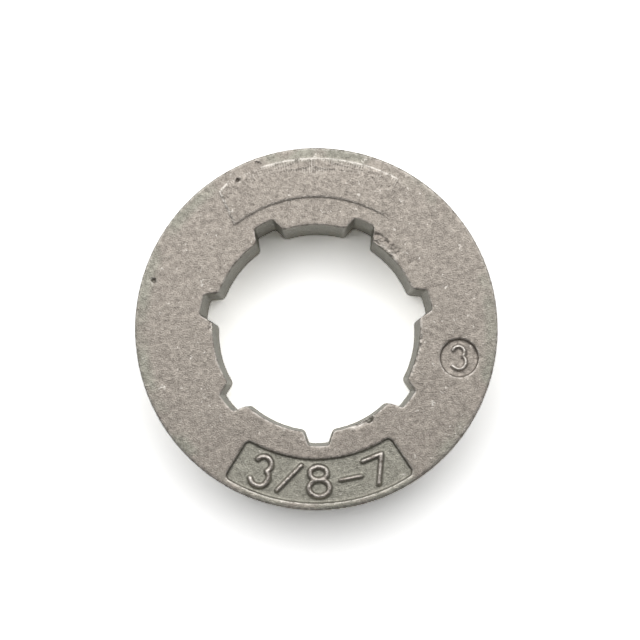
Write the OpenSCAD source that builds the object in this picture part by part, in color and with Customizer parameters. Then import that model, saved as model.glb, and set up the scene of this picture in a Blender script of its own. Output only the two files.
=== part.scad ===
// Rim sprocket for the clutch drum of a chain saw. It is one cast steel ring that floats on
// the drum's splined hub and carries the chain's drive links in pockets around its outside.
// The ring lies on its plain face, with its bore along Z, the marked face up, and the middle
// of one spline groove and of the size panel towards -Y.

/* [Chain] */
// Pitch of the chain, half the length over three rivets in a row
chain_pitch = 9.525; // [8.25:0.005:10.3]
// Number of drive link pockets, and of the teeth between them
teeth = 7; // [7:1:9]
// How far the chain's rivets stand above the rim's outside, where the straps ride
rivet_height = 3.2; // [2.8:0.1:3.6]

/* [Rim] */
// Height of the rim along its bore
rim_h = 12.7; // [9.5:0.1:15]
// Rounding of the two outer edges
edge_r = 0.2; // [0.1:0.05:0.8]

/* [Spline] */
// Number of grooves in the bore
grooves = 7; // [6:1:9]
// Radius of the bore on the lands between the grooves
land_r = 10.34; // [9.6:0.02:10.8]
// Depth of a groove below the lands
groove_depth = 1.36; // [0.8:0.02:1.6]
// Width of a groove at its bottom
groove_w = 2.0; // [1.2:0.1:2.6]
// Angle between a groove's flank and its middle line
flank_angle = 18.5; // [10:0.5:25]
// Rounding where a flank meets a land
mouth_r = 0.5; // [0.2:0.05:0.7]

/* [Drive link pockets] */
// Wall between the bottom of a spline groove and the floor of a pocket
pocket_wall = 1.3; // [0.9:0.1:2.5]
// Length of a pocket across the rim's outside
pocket_len = 10.6; // [9:0.1:11.6]
// Radius of the round floor of a pocket
floor_arc_r = 2.4; // [1.6:0.1:3]
// Width of a pocket along the bore, at its floor
pocket_w = 2.5; // [2:0.1:3.4]
// Lean of a pocket's side walls, which lets the links in
side_draft = 2.5; // [0:0.5:5]
// Chamfer of a pocket's long edges on the rim's outside
lead_in = 0.3; // [0.1:0.05:0.6]
// Rounding of a tooth's tip
tip_r = 0.6; // [0.3:0.05:1]

/* [Marked face] */
// Depth of the size panel
panel_depth = 0.4; // [0.2:0.05:0.8]
// Angle that the size panel spans
panel_angle = 65.7; // [50:0.1:80]
// Land between the size panel and the rim's outside
panel_outer_land = 0.78; // [0.6:0.02:1.2]
// Land between the size panel and the bottom of a spline groove
panel_inner_land = 1.38; // [1:0.02:1.8]
// Rounding of the size panel's corners
panel_corner_r = 0.5; // [0.2:0.05:0.7]
// Depth of the round recess
disc_depth = 0.4; // [0.2:0.05:0.8]
// Radius of the round recess
disc_r = 1.885; // [1.4:0.005:2.2]
// How far the round recess lies inwards of the middle between groove bottoms and outside
disc_inset = 0.36; // [0:0.02:0.6]

/* [Hidden] */
$fa = 2;
$fs = 0.1;

// How far a cut runs past the face that it opens
cut = 1;

// Half a turn from one rivet to the next round the rim, and the rim's outer radius below them
rivet_step = 180 / teeth;
rivet_circle_r = chain_pitch / (2 * sin(rivet_step / 2));
rim_r = rivet_circle_r - rivet_height;

// The spline, seen along the bore with the middle line of a groove along X
groove_r = land_r + groove_depth;
groove_corner_x = sqrt(pow(groove_r, 2) - pow(groove_w / 2, 2));
groove_step = 360 / grooves;
groove_at = -90;

// A pocket, seen along the bore with its middle line along X
pocket_floor_r = groove_r + pocket_wall;
pocket_at = groove_at + rivet_step;
pocket_step = 2 * rivet_step;

// The panel and the round recess on the marked face
panel_r_in = groove_r + panel_inner_land;
panel_r_out = rim_r - panel_outer_land;
panel_at = groove_at;
disc_at = groove_at + 1.5 * groove_step;
disc_centre_r = (groove_r + rim_r) / 2 - disc_inset;

function polar(r, a) = [r * cos(a), r * sin(a)];

// Half width of a groove at the distance x from the bore's axis
function groove_half_w(x) = groove_w / 2 + (groove_corner_x - x) * tan(flank_angle);

// How far along the line from b in direction u its distance from the axis is r
function reach(b, u, r) = -b * u + sqrt(pow(b * u, 2) - b * b + pow(r, 2));

// A convex corner's rounding as a cut: the four sided patch that holds the corner, less the
// circle that stays. The patch starts at the circle's centre c.
module corner_cut(c, r, touch_a, beyond, touch_b) {
    difference() {
        polygon([c, touch_a, beyond, touch_b]);
        translate(c) circle(r = r);
    }
}

module both_sides() {
    children();
    mirror([0, 1]) children();
}

// Cut that rounds the corner between a groove's flank and a land
module mouth_rounding() {
    inward = [-cos(flank_angle), sin(flank_angle)];
    to_land = [sin(flank_angle), cos(flank_angle)];
    root_corner = [groove_corner_x, groove_w / 2];
    start = root_corner + mouth_r * to_land;
    far = reach(start, -inward, land_r + mouth_r);
    c = start - far * inward;
    on_land = c * land_r / (land_r + mouth_r);
    corner_cut(c, mouth_r, c - mouth_r * to_land, [on_land.x, 0], on_land);
}

module groove_outline() {
    x_in = land_r - cut;
    x_out = groove_r + cut;
    intersection() {
        circle(r = groove_r);
        polygon([
            [x_in, -groove_half_w(x_in)],
            [x_out, -groove_half_w(x_out)],
            [x_out, groove_half_w(x_out)],
            [x_in, groove_half_w(x_in)]
        ]);
    }
    both_sides() mouth_rounding();
}

module spline_outline() {
    circle(r = land_r);
    for (i = [0 : grooves - 1])
        rotate(groove_at + i * groove_step) groove_outline();
}

// One pocket between two teeth: a round floor, two straight flanks that open outwards from
// it, and the rounding of the tooth tips at both ends
module pocket_outline() {
    c = [pocket_floor_r + floor_arc_r, 0];
    tip = [sqrt(pow(rim_r, 2) - pow(pocket_len / 2, 2)), pocket_len / 2];
    to_tip = tip - c;
    to_tooth = polar(1, atan2(to_tip.y, to_tip.x) + acos(floor_arc_r / norm(to_tip)));
    outward = [to_tooth.y, -to_tooth.x];
    flank_start = c + floor_arc_r * to_tooth;
    flank_end = tip + cut * outward;
    outside_x = rim_r + cut;
    translate(c) circle(r = floor_arc_r);
    polygon([
        [flank_start.x, -flank_start.y],
        [flank_end.x, -flank_end.y],
        [outside_x, -flank_end.y],
        [outside_x, flank_end.y],
        flank_end,
        flank_start
    ]);
    tip_line = flank_start + tip_r * to_tooth;
    tip_c = tip_line + reach(tip_line, outward, rim_r - tip_r) * outward;
    on_outside = tip_c * rim_r / (rim_r - tip_r);
    on_flank = tip_c - tip_r * to_tooth;
    both_sides() corner_cut(tip_c, tip_r, on_flank, flank_end - cut / 2 * to_tooth, on_outside);
}

// The slot that the pockets share, as its section turned round the bore
module slot_ring() {
    half_floor = pocket_w / 2;
    lead_r = rim_r - lead_in;
    half_lead = half_floor + (lead_r - pocket_floor_r) * tan(side_draft);
    half_open = half_lead + lead_in + cut;
    half_in = half_floor - cut * tan(side_draft);
    translate([0, 0, rim_h / 2])
        rotate_extrude()
            polygon([
                [pocket_floor_r - cut, -half_in],
                [lead_r, -half_lead],
                [rim_r + cut, -half_open],
                [rim_r + cut, half_open],
                [lead_r, half_lead],
                [pocket_floor_r - cut, half_in]
            ]);
}

module pockets() {
    intersection() {
        slot_ring();
        linear_extrude(rim_h)
            for (i = [0 : teeth - 1])
                rotate(pocket_at + i * pocket_step) pocket_outline();
    }
}

// Cut that rounds the panel's corner on the arc of radius r. The centre of the rounding lies
// inwards of that arc, or outwards of it where rounding is negative.
module panel_corner(r, rounding) {
    half = panel_angle / 2;
    side = polar(1, half);
    lean = asin(panel_corner_r / (r - rounding));
    c = polar(r - rounding, half - lean);
    on_side = (c * side) * side;
    corner_cut(c, panel_corner_r, polar(r, half - lean), polar(r + rounding, half + lean), on_side);
}

// The size panel: a sector of a ring with four round corners, its middle line along X
module panel_outline() {
    half = panel_angle / 2;
    difference() {
        intersection() {
            difference() {
                circle(r = panel_r_out);
                circle(r = panel_r_in);
            }
            polygon([[0, 0], polar(2 * rim_r, -half), polar(2 * rim_r, half)]);
        }
        both_sides() {
            panel_corner(panel_r_out, panel_corner_r);
            panel_corner(panel_r_in, -panel_corner_r);
        }
    }
}

module marks() {
    translate([0, 0, rim_h - panel_depth])
        linear_extrude(panel_depth + cut)
            rotate(panel_at) panel_outline();
    translate([0, 0, rim_h - disc_depth])
        rotate(disc_at)
            translate([disc_centre_r, 0])
                cylinder(r = disc_r, h = disc_depth + cut);
}

// Solid ring section from the axis out, with its two outer edges round
module rim_section() {
    corner = [rim_r - edge_r, rim_h / 2 - edge_r];
    difference() {
        translate([0, -rim_h / 2]) square([rim_r, rim_h]);
        both_sides()
            difference() {
                translate(corner) square(edge_r + cut);
                translate(corner) circle(r = edge_r);
            }
    }
}

module rim_sprocket() {
    color("#9d958b")
        difference() {
            translate([0, 0, rim_h / 2]) rotate_extrude() rim_section();
            translate([0, 0, -cut]) linear_extrude(rim_h + 2 * cut) spline_outline();
            pockets();
            marks();
        }
}

rim_sprocket();
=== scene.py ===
import math
import bpy
import numpy as np
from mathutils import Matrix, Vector


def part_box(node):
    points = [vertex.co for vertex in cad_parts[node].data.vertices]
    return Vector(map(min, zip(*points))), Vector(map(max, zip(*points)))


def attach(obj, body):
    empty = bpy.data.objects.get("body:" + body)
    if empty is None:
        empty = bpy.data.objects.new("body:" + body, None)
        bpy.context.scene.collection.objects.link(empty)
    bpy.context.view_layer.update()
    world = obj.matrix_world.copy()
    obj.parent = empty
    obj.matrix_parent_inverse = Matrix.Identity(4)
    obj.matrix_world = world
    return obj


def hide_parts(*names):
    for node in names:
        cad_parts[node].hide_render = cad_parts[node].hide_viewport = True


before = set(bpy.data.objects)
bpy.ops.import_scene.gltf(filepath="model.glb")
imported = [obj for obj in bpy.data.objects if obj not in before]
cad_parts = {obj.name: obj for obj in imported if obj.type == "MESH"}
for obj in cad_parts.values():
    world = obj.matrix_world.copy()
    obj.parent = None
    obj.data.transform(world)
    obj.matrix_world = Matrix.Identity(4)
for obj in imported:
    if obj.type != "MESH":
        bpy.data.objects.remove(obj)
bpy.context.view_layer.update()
perMetre = 1000        # the casting is modelled in millimetres and scaled back at the end
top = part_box("rim_sprocket")[1].z * perMetre
print("frame loaded, rim", round(top, 2), "mm high")


# Small tools

def only(*things):
    # these objects are selected and nothing else, the last one active
    bpy.ops.object.select_all(action="DESELECT")
    for thing in things:
        thing.select_set(True)
    bpy.context.view_layer.objects.active = things[-1]


def applyModifier(thing, kind, **settings):
    only(thing)
    modifier = thing.modifiers.new(kind.title(), kind)
    for name, value in settings.items():
        setattr(modifier, name, value)
    bpy.ops.object.modifier_apply(modifier=modifier.name)


def settle(thing):
    # place, turn and scale go into the mesh
    only(thing)
    bpy.ops.object.transform_apply(location=True, rotation=True, scale=True)
    return thing


def joined(things, name):
    only(*things)
    bpy.ops.object.join()
    thing = bpy.context.object
    thing.name = name
    return thing


def polar(radius, degrees):
    a = math.radians(degrees)
    return Vector((radius * math.cos(a), radius * math.sin(a)))


def corners(mesh):
    co = np.empty(len(mesh.vertices) * 3)
    mesh.vertices.foreach_get("co", co)
    return co.reshape(-1, 3)


def weigh(thing, name, weights):
    # vertex group from an array, in sixteen steps
    group = thing.vertex_groups.new(name=name)
    steps = np.round(np.clip(weights, 0, 1) * 16).astype(int)
    for step in range(1, 17):
        group.add(np.nonzero(steps == step)[0].tolist(), step / 16, "REPLACE")


# Casting: the CAD rim, merged, with its open face a little lower than the strip

rim = {
    "faceDrop": 0.1,      # mm from the strip's top down to the open face
    "faceFrom": 12.25,     # mm, what lies above this goes down with the face
    "voxel": 0.08,         # mm, size of the remesh that melts the pieces together
    "smoothing": 2,
    "edgeRounds": 16,      # rounds of smoothing that the edges are told by
    "edgeMove": 0.07,      # mm that a sharp edge moves under them
    "waveDepth": 0.03,     # mm, slow unevenness of the cast skin
    "waveLength": 2.2,
    "pitDepth": 0.03,      # mm, small unevenness
    "pitLength": 0.5,
    "raggedDepth": 0.16,    # mm, more of it along the edges
    "raggedLength": 0.45,
    "fineFrom": 12.0,      # mm, the mesh stays finer above this
    "fineTriangles": 125000,
    "plainTriangles": 65000,
}


def castingBlank():
    blank = bpy.data.objects.new("cast_rim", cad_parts["rim_sprocket"].data.copy())
    bpy.context.scene.collection.objects.link(blank)
    only(blank)
    bpy.ops.object.mode_set(mode="EDIT")
    bpy.ops.mesh.select_mode(type="VERT")
    bpy.ops.mesh.select_all(action="SELECT")
    bpy.ops.mesh.remove_doubles(threshold=1e-7)
    bpy.ops.transform.resize(value=(perMetre,) * 3, center_override=(0, 0, 0))
    bpy.ops.mesh.select_all(action="DESELECT")
    bpy.ops.object.mode_set(mode="OBJECT")
    for v in blank.data.vertices:
        v.select = v.co.z > rim["faceFrom"]
    bpy.ops.object.mode_set(mode="EDIT")
    bpy.ops.transform.translate(value=(0, 0, -rim["faceDrop"]))
    bpy.ops.object.mode_set(mode="OBJECT")
    return blank


# Strip: the bare raised field at the top of the face

strip = {
    "inner": 13.22,        # mm, radii of its two arcs
    "outer": 17.08,
    "from": 53.3,          # degrees, where it fades out
    "to": 131,
    "depth": 0.6,
    "leftEnd": [(-8.05, 10.80), (-9.42, 13.92)],     # mm, its slanted end
    "cutCorner": [(-9.42, 13.92), (-8.69, 14.69)],
    "fade": 7,             # degrees over which the right end sinks into the face
    "edgeWearAndPaintedHighlight": (60, 108),   # degrees, its outer edge gets a painted highlight between these, and its left end too
    "paintedHighlightWidth": 0.08,   # mm
    "paintedHighlightShare": 0.4,
}


def cutAway(thing, a, b):
    # upright cut through the line from a to b, what lies to its left goes
    along = (Vector(b) - Vector(a)).normalized()
    only(thing)
    bpy.ops.object.mode_set(mode="EDIT")
    bpy.ops.mesh.select_all(action="SELECT")
    bpy.ops.mesh.bisect(plane_co=(*a, 0), plane_no=(-along.y, along.x, 0), use_fill=True, clear_outer=True)
    bpy.ops.object.mode_set(mode="OBJECT")


def raisedStrip():
    middle = (strip["inner"] + strip["outer"]) / 2
    bpy.ops.object.select_all(action="DESELECT")
    bpy.ops.mesh.primitive_cube_add(size=1, location=(middle, 0, top - strip["depth"] / 2))
    field = bpy.context.object
    field.scale = (strip["outer"] - strip["inner"], 0.1, strip["depth"])
    settle(field)
    field.rotation_euler.z = math.radians(strip["from"])
    settle(field)
    forward = Vector((-math.sin(math.radians(strip["from"])), math.cos(math.radians(strip["from"])), 0))
    for face in field.data.polygons:
        face.select = face.normal.dot(forward) > 0.9
    bpy.ops.object.mode_set(mode="EDIT")
    bpy.ops.mesh.select_mode(type="FACE")
    bpy.ops.mesh.spin(steps=90, angle=-math.radians(strip["to"] - strip["from"]),
                      center=(0, 0, 0), axis=(0, 0, 1))
    bpy.ops.mesh.select_all(action="SELECT")
    bpy.ops.mesh.normals_make_consistent(inside=False)
    bpy.ops.object.mode_set(mode="OBJECT")
    for v in field.data.vertices:
        past = math.degrees(math.atan2(v.co.y, v.co.x)) - strip["from"]
        v.co.z -= rim["faceDrop"] * max(0, 1 - past / strip["fade"])
    cutAway(field, *strip["leftEnd"])
    cutAway(field, *strip["cutCorner"])
    print("raised strip done")
    return field


# Figures: raised mono-line strokes in the two recesses, each written in its own little frame

figures = {
    "stroke": 0.54,        # mm, width of a stroke
    "floor": 12.2,        # mm, where the recess floors lie after the drop
    "lift": 0.09,          # mm from the floor up to a stroke's middle
    "radius": 15.31,       # mm, where the line of figures sits
    "small": 0.36,         # mm, stroke of the figure in the round recess
    "smallDrop": 0.07,     # mm that it lies lower
}


def place(spot, turn, point):
    c, s = math.cos(turn), math.sin(turn)
    return Vector((spot.x + c * point[0] - s * point[1], spot.y + s * point[0] + c * point[1], 0))


def ball(centre, width):
    bpy.ops.mesh.primitive_uv_sphere_add(segments=20, ring_count=12, radius=width / 2, location=centre)
    return settle(bpy.context.object)


def straightStroke(a, b, width):
    middle = (a + b) / 2
    heading = math.atan2(b.y - a.y, b.x - a.x)
    bpy.ops.mesh.primitive_cylinder_add(vertices=20, radius=width / 2, depth=(b - a).length,
                                        location=middle, rotation=(0, math.pi / 2, heading))
    return [settle(bpy.context.object), ball(a, width), ball(b, width)]


def arcStroke(centre, radius, start, end, width):
    # start and end in degrees, counter-clockwise
    a = centre + polar(radius, start).to_3d()
    b = centre + polar(radius, end).to_3d()
    bpy.ops.mesh.primitive_circle_add(vertices=20, radius=width / 2, fill_type="NGON", location=a,
                                      rotation=(math.pi / 2, 0, math.radians(start)))
    bend = bpy.context.object
    bpy.ops.object.mode_set(mode="EDIT")
    bpy.ops.mesh.select_all(action="SELECT")
    bpy.ops.mesh.spin(steps=int(abs(end - start) / 6), angle=-math.radians(end - start),
                      center=centre, axis=(0, 0, 1))
    bpy.ops.mesh.select_all(action="SELECT")
    bpy.ops.mesh.normals_make_consistent(inside=False)
    bpy.ops.object.mode_set(mode="OBJECT")
    return [settle(bend), ball(a, width), ball(b, width)]


def loopStroke(centre, turn, halfWidth, halfHeight, width):
    bpy.ops.curve.primitive_bezier_circle_add(radius=1, location=centre)
    loop = bpy.context.object
    bpy.ops.object.mode_set(mode="EDIT")
    bpy.ops.curve.select_all(action="SELECT")
    bpy.ops.transform.resize(value=(halfWidth, halfHeight, 1), center_override=centre)
    bpy.ops.object.mode_set(mode="OBJECT")
    loop.rotation_euler.z = turn
    loop.data.bevel_depth = width / 2
    loop.data.bevel_resolution = 4
    bpy.ops.object.convert(target="MESH")
    return [settle(bpy.context.object)]


def figureFrame(degrees, radius):
    # a figure's own middle, with its head towards the bore
    return polar(radius, degrees), math.radians(degrees + 90)


def threeFigure(spot, turn, scale, width):
    upper = place(spot, turn, (-0.05 * scale, 0.80 * scale))
    lower = place(spot, turn, (-0.03 * scale, -0.52 * scale))
    tilt = math.degrees(turn)
    return (arcStroke(upper, 0.77 * scale, tilt - 48, tilt + 160, width)
            + arcStroke(lower, 0.93 * scale, tilt - 150, tilt + 55, width))


def raisedFigures():
    w, r = figures["stroke"], figures["radius"]
    strokes = []
    spot, turn = figureFrame(247.8, r)
    strokes += threeFigure(spot, turn, 1, w)
    spot, turn = figureFrame(258.8, r)
    strokes += straightStroke(place(spot, turn, (-1.08, -1.26)), place(spot, turn, (0.89, 1.59)), w * 0.85)
    spot, turn = figureFrame(269.8, r)
    strokes += loopStroke(place(spot, turn, (-0.03, 0.86)), turn, 0.86, 0.66, w)
    strokes += loopStroke(place(spot, turn, (0.02, -0.62)), turn, 1.03, 0.83, w)
    spot, turn = figureFrame(281.8, r)
    strokes += straightStroke(place(spot, turn, (-1.0, 0.03)), place(spot, turn, (1.05, -0.04)), w * 0.8)
    spot, turn = figureFrame(292.4, r)
    bend, foot = place(spot, turn, (0.96, 1.26)), place(spot, turn, (-0.46, -1.39))
    strokes += straightStroke(place(spot, turn, (-1.04, 1.31)), bend, w * 0.9)
    strokes += straightStroke(bend, foot, w * 0.9)
    discSpot = polar(14.59, -12.857)
    small = joined(threeFigure(discSpot, math.radians(-1.2), 0.76, figures["small"]), "smallFigure")
    small.location.z = -figures["smallDrop"]
    strokes.append(settle(small))
    written = joined(strokes, "figures")
    written.location.z = figures["floor"] + figures["lift"]
    settle(written)
    print("figures done,", len(strokes), "strokes")
    return written


# Wear: small cutters that take chips and dents out of the blank, and rough patches

wear = {
    "dent": ((-16.17, 5.12), 0.42, 0.35, 200),          # place, size, depth, turn
    "spot": ((-7.6, 15.05), 0.3, 0.35, 20),
    "grooves": [                                        # place, length, width, turn
        ((-5.5, 16.72), 1.0, 0.22, -22),
        ((17.0, -0.05), 1.2, 0.1, 0),
        ((9.7, 6.45), 1.1, 0.14, 24),
        ((10.4, 6.85), 1.0, 0.12, 30),
        ((13.2, -6.05), 2.0, 0.12, 8),
        ((5.15, -9.2), 0.8, 0.5, 30),
    ],
    "rough": [                                          # degrees, radii, depth
        (40, 61, 10.0, 11.5, 0.3),
        (-35, -4, 10.0, 10.8, 0.25),
        (170, 188, 10.0, 10.9, 0.3),
        (-70, -58, 10.0, 10.9, 0.35),
    ],
    "wearAndPaintedHighlight": [                                        # degrees, radii, share made bright: partly wear, partly painted highlight on bore edges
        (-73, -57, 10.3, 10.85, 0.45),
        (-33, 6, 10.3, 10.75, 0.35),
        (169, 189, 10.3, 10.8, 0.3),
        (-122, -96, 10.25, 10.55, 0.3),
        (-95, -85, 11.5, 11.9, 0.3),
        (38, 60, 10.3, 11.0, 0.18),
    ],
    "fadeAlong": 2,                                     # degrees over which a patch starts and ends
    "fadeAcross": 0.3,                                  # mm
}


def pick(where, size, depth, turn):
    # three-sided point pressed into the face
    face = top - rim["faceDrop"]
    bpy.ops.mesh.primitive_cone_add(vertices=3, radius1=0, radius2=size * 2, depth=depth * 2,
                                    location=(*where, face), rotation=(0, 0, math.radians(turn)))
    return settle(bpy.context.object)


def groove(where, length, width, turn):
    face = top - rim["faceDrop"]
    bpy.ops.mesh.primitive_uv_sphere_add(segments=16, ring_count=8, radius=0.5, location=(*where, face))
    cut = bpy.context.object
    cut.scale = (length, width, width * 1.2)
    cut.rotation_euler.z = math.radians(turn)
    return settle(cut)


def wearCutters():
    cuts = [pick(*wear["dent"]), pick(*wear["spot"])]
    for scratch in wear["grooves"]:
        cuts.append(groove(*scratch))
    return joined(cuts, "cuts")


def clouds(name, length):
    texture = bpy.data.textures.new(name, "CLOUDS")
    texture.noise_scale = length
    return texture


def awayFrom(co, a, b):
    # distance from the line between a and b, seen from above
    a, along = np.array(a), np.array(b) - np.array(a)
    share = np.clip(((co[:, :2] - a) @ along) / (along @ along), 0, 1)
    return np.hypot(*(co[:, :2] - a - share[:, None] * along).T)


def markEdges(casting):
    # how far each point sinks or rises when a copy is smoothed tells edges and inner corners
    softer = casting.copy()
    softer.data = casting.data.copy()
    bpy.context.scene.collection.objects.link(softer)
    applyModifier(softer, "SMOOTH", factor=0.5, iterations=rim["edgeRounds"])
    normals = np.empty(len(casting.data.vertices) * 3, np.float32)
    casting.data.vertex_normals.foreach_get("vector", normals)
    sink = ((corners(casting.data) - corners(softer.data)) * normals.reshape(-1, 3)).sum(axis=1)
    bpy.data.objects.remove(softer)
    # convex edges are taken as wear, and the painted highlight masks join them below
    wearAndPaintedSheen = np.clip(sink / rim["edgeMove"], 0, 1)
    # inner corners, darkened below as painted shade
    paintedCornerShade = np.clip(-sink / rim["edgeMove"], 0, 1)
    co = corners(casting.data)
    radius = np.hypot(co[:, 0], co[:, 1])
    angle = np.degrees(np.arctan2(co[:, 1], co[:, 0]))
    # the strip's outer edge and its left end, which face the lamp, get a painted highlight
    start, end = strip["edgeWearAndPaintedHighlight"]
    away = np.where((angle > start) & (angle < end), np.abs(radius - strip["outer"]), 1)
    away = np.minimum(away, awayFrom(co, *strip["leftEnd"]))
    away = np.minimum(away, awayFrom(co, *strip["cutCorner"]))
    onFace = co[:, 2] > rim["faceFrom"]
    edgeWearAndPaintedHighlight = np.clip(1.5 - away / strip["paintedHighlightWidth"], 0, 1) * strip["paintedHighlightShare"] * onFace
    # bright patches along the bore edges, partly wear and partly painted highlight on edges facing the lamp
    for start, end, inner, outer, share in wear["wearAndPaintedHighlight"]:
        along = np.minimum(angle - start, end - angle) / wear["fadeAlong"]
        across = np.minimum(radius - inner, outer - radius) / wear["fadeAcross"]
        edgeWearAndPaintedHighlight = np.maximum(edgeWearAndPaintedHighlight, np.clip(np.minimum(along, across), 0, 1) * share * onFace)
    wearAndPaintedSheen = np.maximum(wearAndPaintedSheen, edgeWearAndPaintedHighlight)
    paintedCornerShade *= 1 - edgeWearAndPaintedHighlight
    for name, values in (("wearAndPaintedSheen", wearAndPaintedSheen), ("paintedCornerShade", paintedCornerShade)):
        attribute = casting.data.attributes.new(name, "FLOAT", "POINT")
        attribute.data.foreach_set("value", values.astype(np.float32))
    weigh(casting, "edges", sink / rim["edgeMove"])


def triangleCount(casting):
    casting.data.calc_loop_triangles()
    return len(casting.data.loop_triangles)


def thin(casting, group, target):
    # only the weighted part loses triangles, down to its own target
    weighed = casting.vertex_groups[group].index
    inside = np.array([any(g.group == weighed and g.weight > 0.5 for g in v.groups)
                       for v in casting.data.vertices])
    casting.data.calc_loop_triangles()
    loops = np.empty(len(casting.data.loop_triangles) * 3, np.int32)
    casting.data.loop_triangles.foreach_get("vertices", loops)
    share = inside[loops].reshape(-1, 3).all(axis=1).mean()
    total = len(loops) // 3
    ratio = 1 - share + target / total
    applyModifier(casting, "DECIMATE", ratio=ratio, vertex_group=group)


def buildRim():
    blank = castingBlank()
    cuts = wearCutters()
    land = raisedStrip()
    for piece in (blank, land):
        applyModifier(piece, "BOOLEAN", operation="DIFFERENCE", solver="EXACT", use_self=True, object=cuts)
    bpy.data.objects.remove(cuts)
    casting = joined([land, raisedFigures(), blank], "cast_rim")
    applyModifier(casting, "REMESH", mode="VOXEL", voxel_size=rim["voxel"], adaptivity=0)
    print("remeshed,", len(casting.data.polygons), "faces")
    applyModifier(casting, "SMOOTH", factor=0.5, iterations=rim["smoothing"])
    markEdges(casting)
    print("edges marked")
    co = corners(casting.data)
    radius = np.hypot(co[:, 0], co[:, 1])
    angle = np.degrees(np.arctan2(co[:, 1], co[:, 0]))
    for i, (start, end, inner, outer, depth) in enumerate(wear["rough"]):
        along = np.minimum(angle - start, end - angle) / wear["fadeAlong"]
        across = np.minimum(radius - inner, outer - radius) / wear["fadeAcross"]
        weigh(casting, "rough" + str(i), np.minimum(along, across) * (co[:, 2] > rim["fineFrom"]))
        applyModifier(casting, "DISPLACE", texture=clouds("chips", 0.4), strength=depth, mid_level=0.75,
                      vertex_group="rough" + str(i))
    applyModifier(casting, "DISPLACE", texture=clouds("waves", rim["waveLength"]), strength=rim["waveDepth"],
                  mid_level=1)
    applyModifier(casting, "DISPLACE", texture=clouds("pits", rim["pitLength"]), strength=rim["pitDepth"],
                  mid_level=1)
    applyModifier(casting, "DISPLACE", texture=clouds("ragged", rim["raggedLength"]),
                  strength=rim["raggedDepth"], mid_level=1, vertex_group="edges")
    print("uneven skin done")
    high = corners(casting.data)[:, 2] > rim["fineFrom"]
    weigh(casting, "fine", high)
    weigh(casting, "plain", ~high)
    thin(casting, "plain", rim["plainTriangles"])
    thin(casting, "fine", rim["fineTriangles"])
    print("decimated,", triangleCount(casting), "triangles")
    only(casting)
    bpy.ops.object.mode_set(mode="EDIT")
    bpy.ops.mesh.select_all(action="SELECT")
    bpy.ops.transform.resize(value=(1 / perMetre,) * 3, center_override=(0, 0, 0))
    bpy.ops.object.mode_set(mode="OBJECT")
    bpy.ops.object.shade_smooth()
    return casting


castRim = buildRim()


# Finish of the cast steel, its patterns in millimetres

steel = {
    "light": (0.53, 0.475, 0.417, 1),
    "dark": (0.24, 0.215, 0.188, 1),
    "coolTint": (0.93, 1.0, 0.97, 1),   # smoother skin of the outer band, the recess floors and the walls
    "bright": (0.82, 0.78, 0.72, 1),    # worn edges and bright specks, with painted highlight on edges that face the lamp
    "paintedShadeColour": (0.10, 0.09, 0.08, 1),      # painted shade in inner corners and along recess walls
    "roughness": 0.5,
    "wornRoughness": 0.38,
    "grain": 2.5,          # per mm
    "fine": 7.0,
    "patches": 0.28,
    "specks": 1.7,
    "warmSpot": (14.22, -3.25, 0),      # middle of the round recess, which isn't greenish
    "bumpDepth": 0.06,     # mm
}


def node(tree, kind, inputs, **options):
    # inputs are numbers, colours or another node's output
    made = tree.nodes.new("ShaderNode" + kind)
    for option, value in options.items():
        setattr(made, option, value)
    for name, value in inputs.items():
        if isinstance(value, bpy.types.NodeSocket):
            tree.links.new(value, made.inputs[name])
        else:
            made.inputs[name].default_value = value
    return made


def ranged(tree, value, fromMin, fromMax, toMin=0.0, toMax=1.0):
    return node(tree, "MapRange", {"Value": value, "From Min": fromMin, "From Max": fromMax,
                                   "To Min": toMin, "To Max": toMax}).outputs["Result"]


def sum2(tree, operation, a, b):
    return node(tree, "Math", {0: a, 1: b}, operation=operation).outputs["Value"]


def blended(tree, share, a, b, way="MIX"):
    return node(tree, "Mix", {0: share, 6: a, 7: b}, data_type="RGBA", blend_type=way).outputs[2]


def noise(tree, where, scale, detail, roughness):
    return node(tree, "TexNoise", {"Vector": where, "Scale": scale, "Detail": detail,
                                   "Roughness": roughness}).outputs["Fac"]


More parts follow.
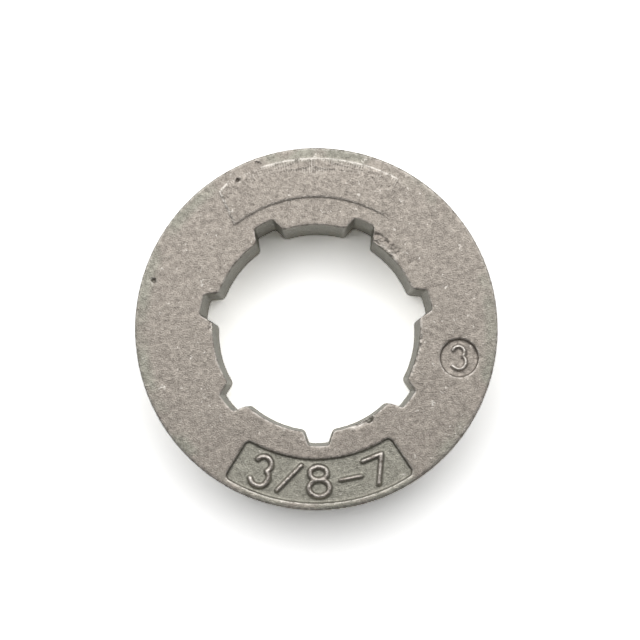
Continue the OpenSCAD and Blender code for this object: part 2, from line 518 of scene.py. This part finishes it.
def steelMaterial():
    material = bpy.data.materials.new("castSteel")
    material.use_nodes = True
    tree = material.node_tree
    shader = tree.nodes["Principled BSDF"]
    shader.inputs["Metallic"].default_value = 0.9
    place3d = node(tree, "TexCoord", {}).outputs["Object"]
    where = node(tree, "Mapping", {"Vector": place3d, "Scale": (perMetre,) * 3}).outputs["Vector"]
    grain = noise(tree, where, steel["grain"], 3, 0.6)
    fine = noise(tree, where, steel["fine"], 1, 0.5)
    mixed = sum2(tree, "ADD", sum2(tree, "MULTIPLY", grain, 0.5), sum2(tree, "MULTIPLY", fine, 0.5))
    tone = ranged(tree, mixed, 0.3, 0.7)
    colour = blended(tree, tone, steel["dark"], steel["light"])
    split = node(tree, "SeparateXYZ", {"Vector": where})
    flat = node(tree, "CombineXYZ", {"X": split.outputs["X"], "Y": split.outputs["Y"]}).outputs["Vector"]
    radius = node(tree, "VectorMath", {0: flat}, operation="LENGTH").outputs["Value"]
    patches = noise(tree, where, steel["patches"], 1, 0.5)
    band = sum2(tree, "MULTIPLY", ranged(tree, radius, 16.6, 17.4), ranged(tree, patches, 0.42, 0.62))
    away = node(tree, "VectorMath", {0: flat, 1: steel["warmSpot"]}, operation="DISTANCE").outputs["Value"]
    below = sum2(tree, "MULTIPLY", ranged(tree, split.outputs["Z"], 12.4, 12.3), ranged(tree, away, 1.9, 2.1))
    cool = sum2(tree, "MAXIMUM", band, below)
    colour = blended(tree, cool, colour, blended(tree, 1.0, colour, steel["coolTint"], "MULTIPLY"))
    wearAndPaintedSheen = node(tree, "Attribute", {}, attribute_name="wearAndPaintedSheen").outputs["Fac"]
    paintedCornerShade = node(tree, "Attribute", {}, attribute_name="paintedCornerShade").outputs["Fac"]
    # bright colour: edge wear plus painted highlight on edges facing the lamp, and bright specks
    wearAndPaintedSheenShare = sum2(tree, "MULTIPLY", ranged(tree, wearAndPaintedSheen, 0.05, 0.5), ranged(tree, grain, 0.35, 0.55))
    specks = ranged(tree, noise(tree, where, steel["specks"], 2, 0.7), 0.66, 0.74, 0, 0.6)
    wearAndPaintedHighlight = sum2(tree, "MAXIMUM", wearAndPaintedSheenShare, specks)
    colour = blended(tree, wearAndPaintedHighlight, colour, steel["bright"])
    # painted shade darkens inner corners and recess walls
    colour = blended(tree, ranged(tree, paintedCornerShade, 0.15, 0.9, 0.0, 0.9), colour, steel["paintedShadeColour"])
    tree.links.new(colour, shader.inputs["Base Color"])
    rough = ranged(tree, grain, 0.3, 0.7, steel["roughness"] + 0.06, steel["roughness"] - 0.06)
    rough = node(tree, "Mix", {0: wearAndPaintedHighlight, 2: rough, 3: steel["wornRoughness"]}).outputs[0]
    tree.links.new(rough, shader.inputs["Roughness"])
    bump = node(tree, "Bump", {"Height": mixed, "Distance": steel["bumpDepth"] / perMetre})
    tree.links.new(bump.outputs["Normal"], shader.inputs["Normal"])
    return material


castRim.data.materials.clear()
castRim.data.materials.append(steelMaterial())
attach(castRim, "root")
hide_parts("rim_sprocket")
print("cast rim done")


# Floor, world and light

studio = {
    "floorSize": 3,        # m
    "floorWhite": 0.8,
    "floorGain": 3.8,      # the camera sees the floor this much brighter than it lights the rim
    "mirrorGain": 2.1,     # and metal does, so that both see white
    "whiteFrom": (0.06, 0.15),          # m, the camera sees plain white farther away than this
    "worldLight": 0.03,    # what the world adds to the light, where 1 is white
    "zenith": 0.06,        # the world straight above, where the camera stands in its way
    "front": 0.16,         # and towards the viewer, its other side is white
    "keyPower": 0.67,      # W
    "keySize": (0.42, 0.24),            # m
    "keyPlace": (-0.005, 0.09, 0.29),
}


def seenShares(tree):
    # 1 for what the camera sees, and 1 for what metal or glass shows of it
    path = node(tree, "LightPath", {})
    mirrored = sum2(tree, "MAXIMUM", path.outputs["Is Glossy Ray"], path.outputs["Is Transmission Ray"])
    return path.outputs["Is Camera Ray"], mirrored


def buildFloor():
    bpy.ops.object.select_all(action="DESELECT")
    bpy.ops.mesh.primitive_plane_add(size=studio["floorSize"])
    floor = bpy.context.object
    floor.name = "studio_floor"
    material = bpy.data.materials.new("floorWhite")
    material.use_nodes = True
    tree = material.node_tree
    tree.nodes.remove(tree.nodes["Principled BSDF"])
    plain, seen, reflected = [(*(studio["floorWhite"] * gain,) * 3, 1)
                              for gain in (1, studio["floorGain"], studio["mirrorGain"])]
    direct, mirrored = seenShares(tree)
    white = blended(tree, direct, blended(tree, mirrored, plain, reflected), seen)
    matt = node(tree, "BsdfDiffuse", {"Color": white}).outputs[0]
    place3d = node(tree, "TexCoord", {}).outputs["Object"]
    away = node(tree, "VectorMath", {0: place3d}, operation="LENGTH").outputs["Value"]
    distant = sum2(tree, "MULTIPLY", direct, ranged(tree, away, *studio["whiteFrom"]))
    bright = node(tree, "Emission", {"Strength": 1}).outputs[0]
    both = node(tree, "MixShader", {0: distant, 1: matt, 2: bright}).outputs[0]
    tree.links.new(both, tree.nodes["Material Output"].inputs["Surface"])
    floor.data.materials.append(material)


def buildWorld():
    world = bpy.data.worlds.new("studio")
    bpy.context.scene.world = world
    world.use_nodes = True
    tree = world.node_tree
    sky = tree.nodes["Background"]
    direction = node(tree, "TexCoord", {}).outputs["Generated"]
    split = node(tree, "SeparateXYZ", {"Vector": direction})
    overhead = ranged(tree, split.outputs["Z"], 0.5, 0.95, 1, studio["zenith"])
    behind = ranged(tree, split.outputs["Y"], -0.4, 0.6, studio["front"], 1)
    tree.links.new(sum2(tree, "MULTIPLY", overhead, behind), sky.inputs["Color"])
    seen = sum2(tree, "MAXIMUM", *seenShares(tree))
    tree.links.new(ranged(tree, seen, 0, 1, studio["worldLight"], 1), sky.inputs["Strength"])


def buildKey():
    lamp = bpy.data.lights.new("key", "AREA")
    lamp.shape = "RECTANGLE"
    lamp.size, lamp.size_y = studio["keySize"]
    lamp.energy = studio["keyPower"]
    key = bpy.data.objects.new("key", lamp)
    bpy.context.scene.collection.objects.link(key)
    key.location = studio["keyPlace"]
    key.rotation_euler = Vector(studio["keyPlace"]).to_track_quat("Z", "Y").to_euler()
    key.visible_camera = False


buildFloor()
buildWorld()
buildKey()
print("studio done")


# Camera, above the rim as in the photograph

camera = {
    "lens": 108.6,                        # mm on a 36 mm sensor
    "faceCentre": (316.3, 328.4),         # px of the 640 x 640 frame, where the face's centre shows
    "distance": 192.9,                    # mm from the lens to the face's centre, along the view
    "tilt": (2.21, 0.117, -1.2),          # degrees
}
frameSize = 640
sensor = 36


def buildCamera():
    data = bpy.data.cameras.new("camera")
    data.lens = camera["lens"]
    data.sensor_width = sensor
    data.clip_start = 0.01
    thing = bpy.data.objects.new("camera", data)
    bpy.context.scene.collection.objects.link(thing)
    thing.rotation_euler = [math.radians(a) for a in camera["tilt"]]
    far = camera["distance"] / perMetre
    pixel = far * sensor / (camera["lens"] * frameSize)
    x, y = camera["faceCentre"]
    seenAt = Vector(((x - frameSize / 2) * pixel, (frameSize / 2 - y) * pixel, -far))
    thing.location = Vector((0, 0, top / perMetre)) - thing.rotation_euler.to_matrix() @ seenAt
    bpy.context.scene.camera = thing


buildCamera()
bpy.context.scene.view_settings.view_transform = "Standard"
print("camera done")
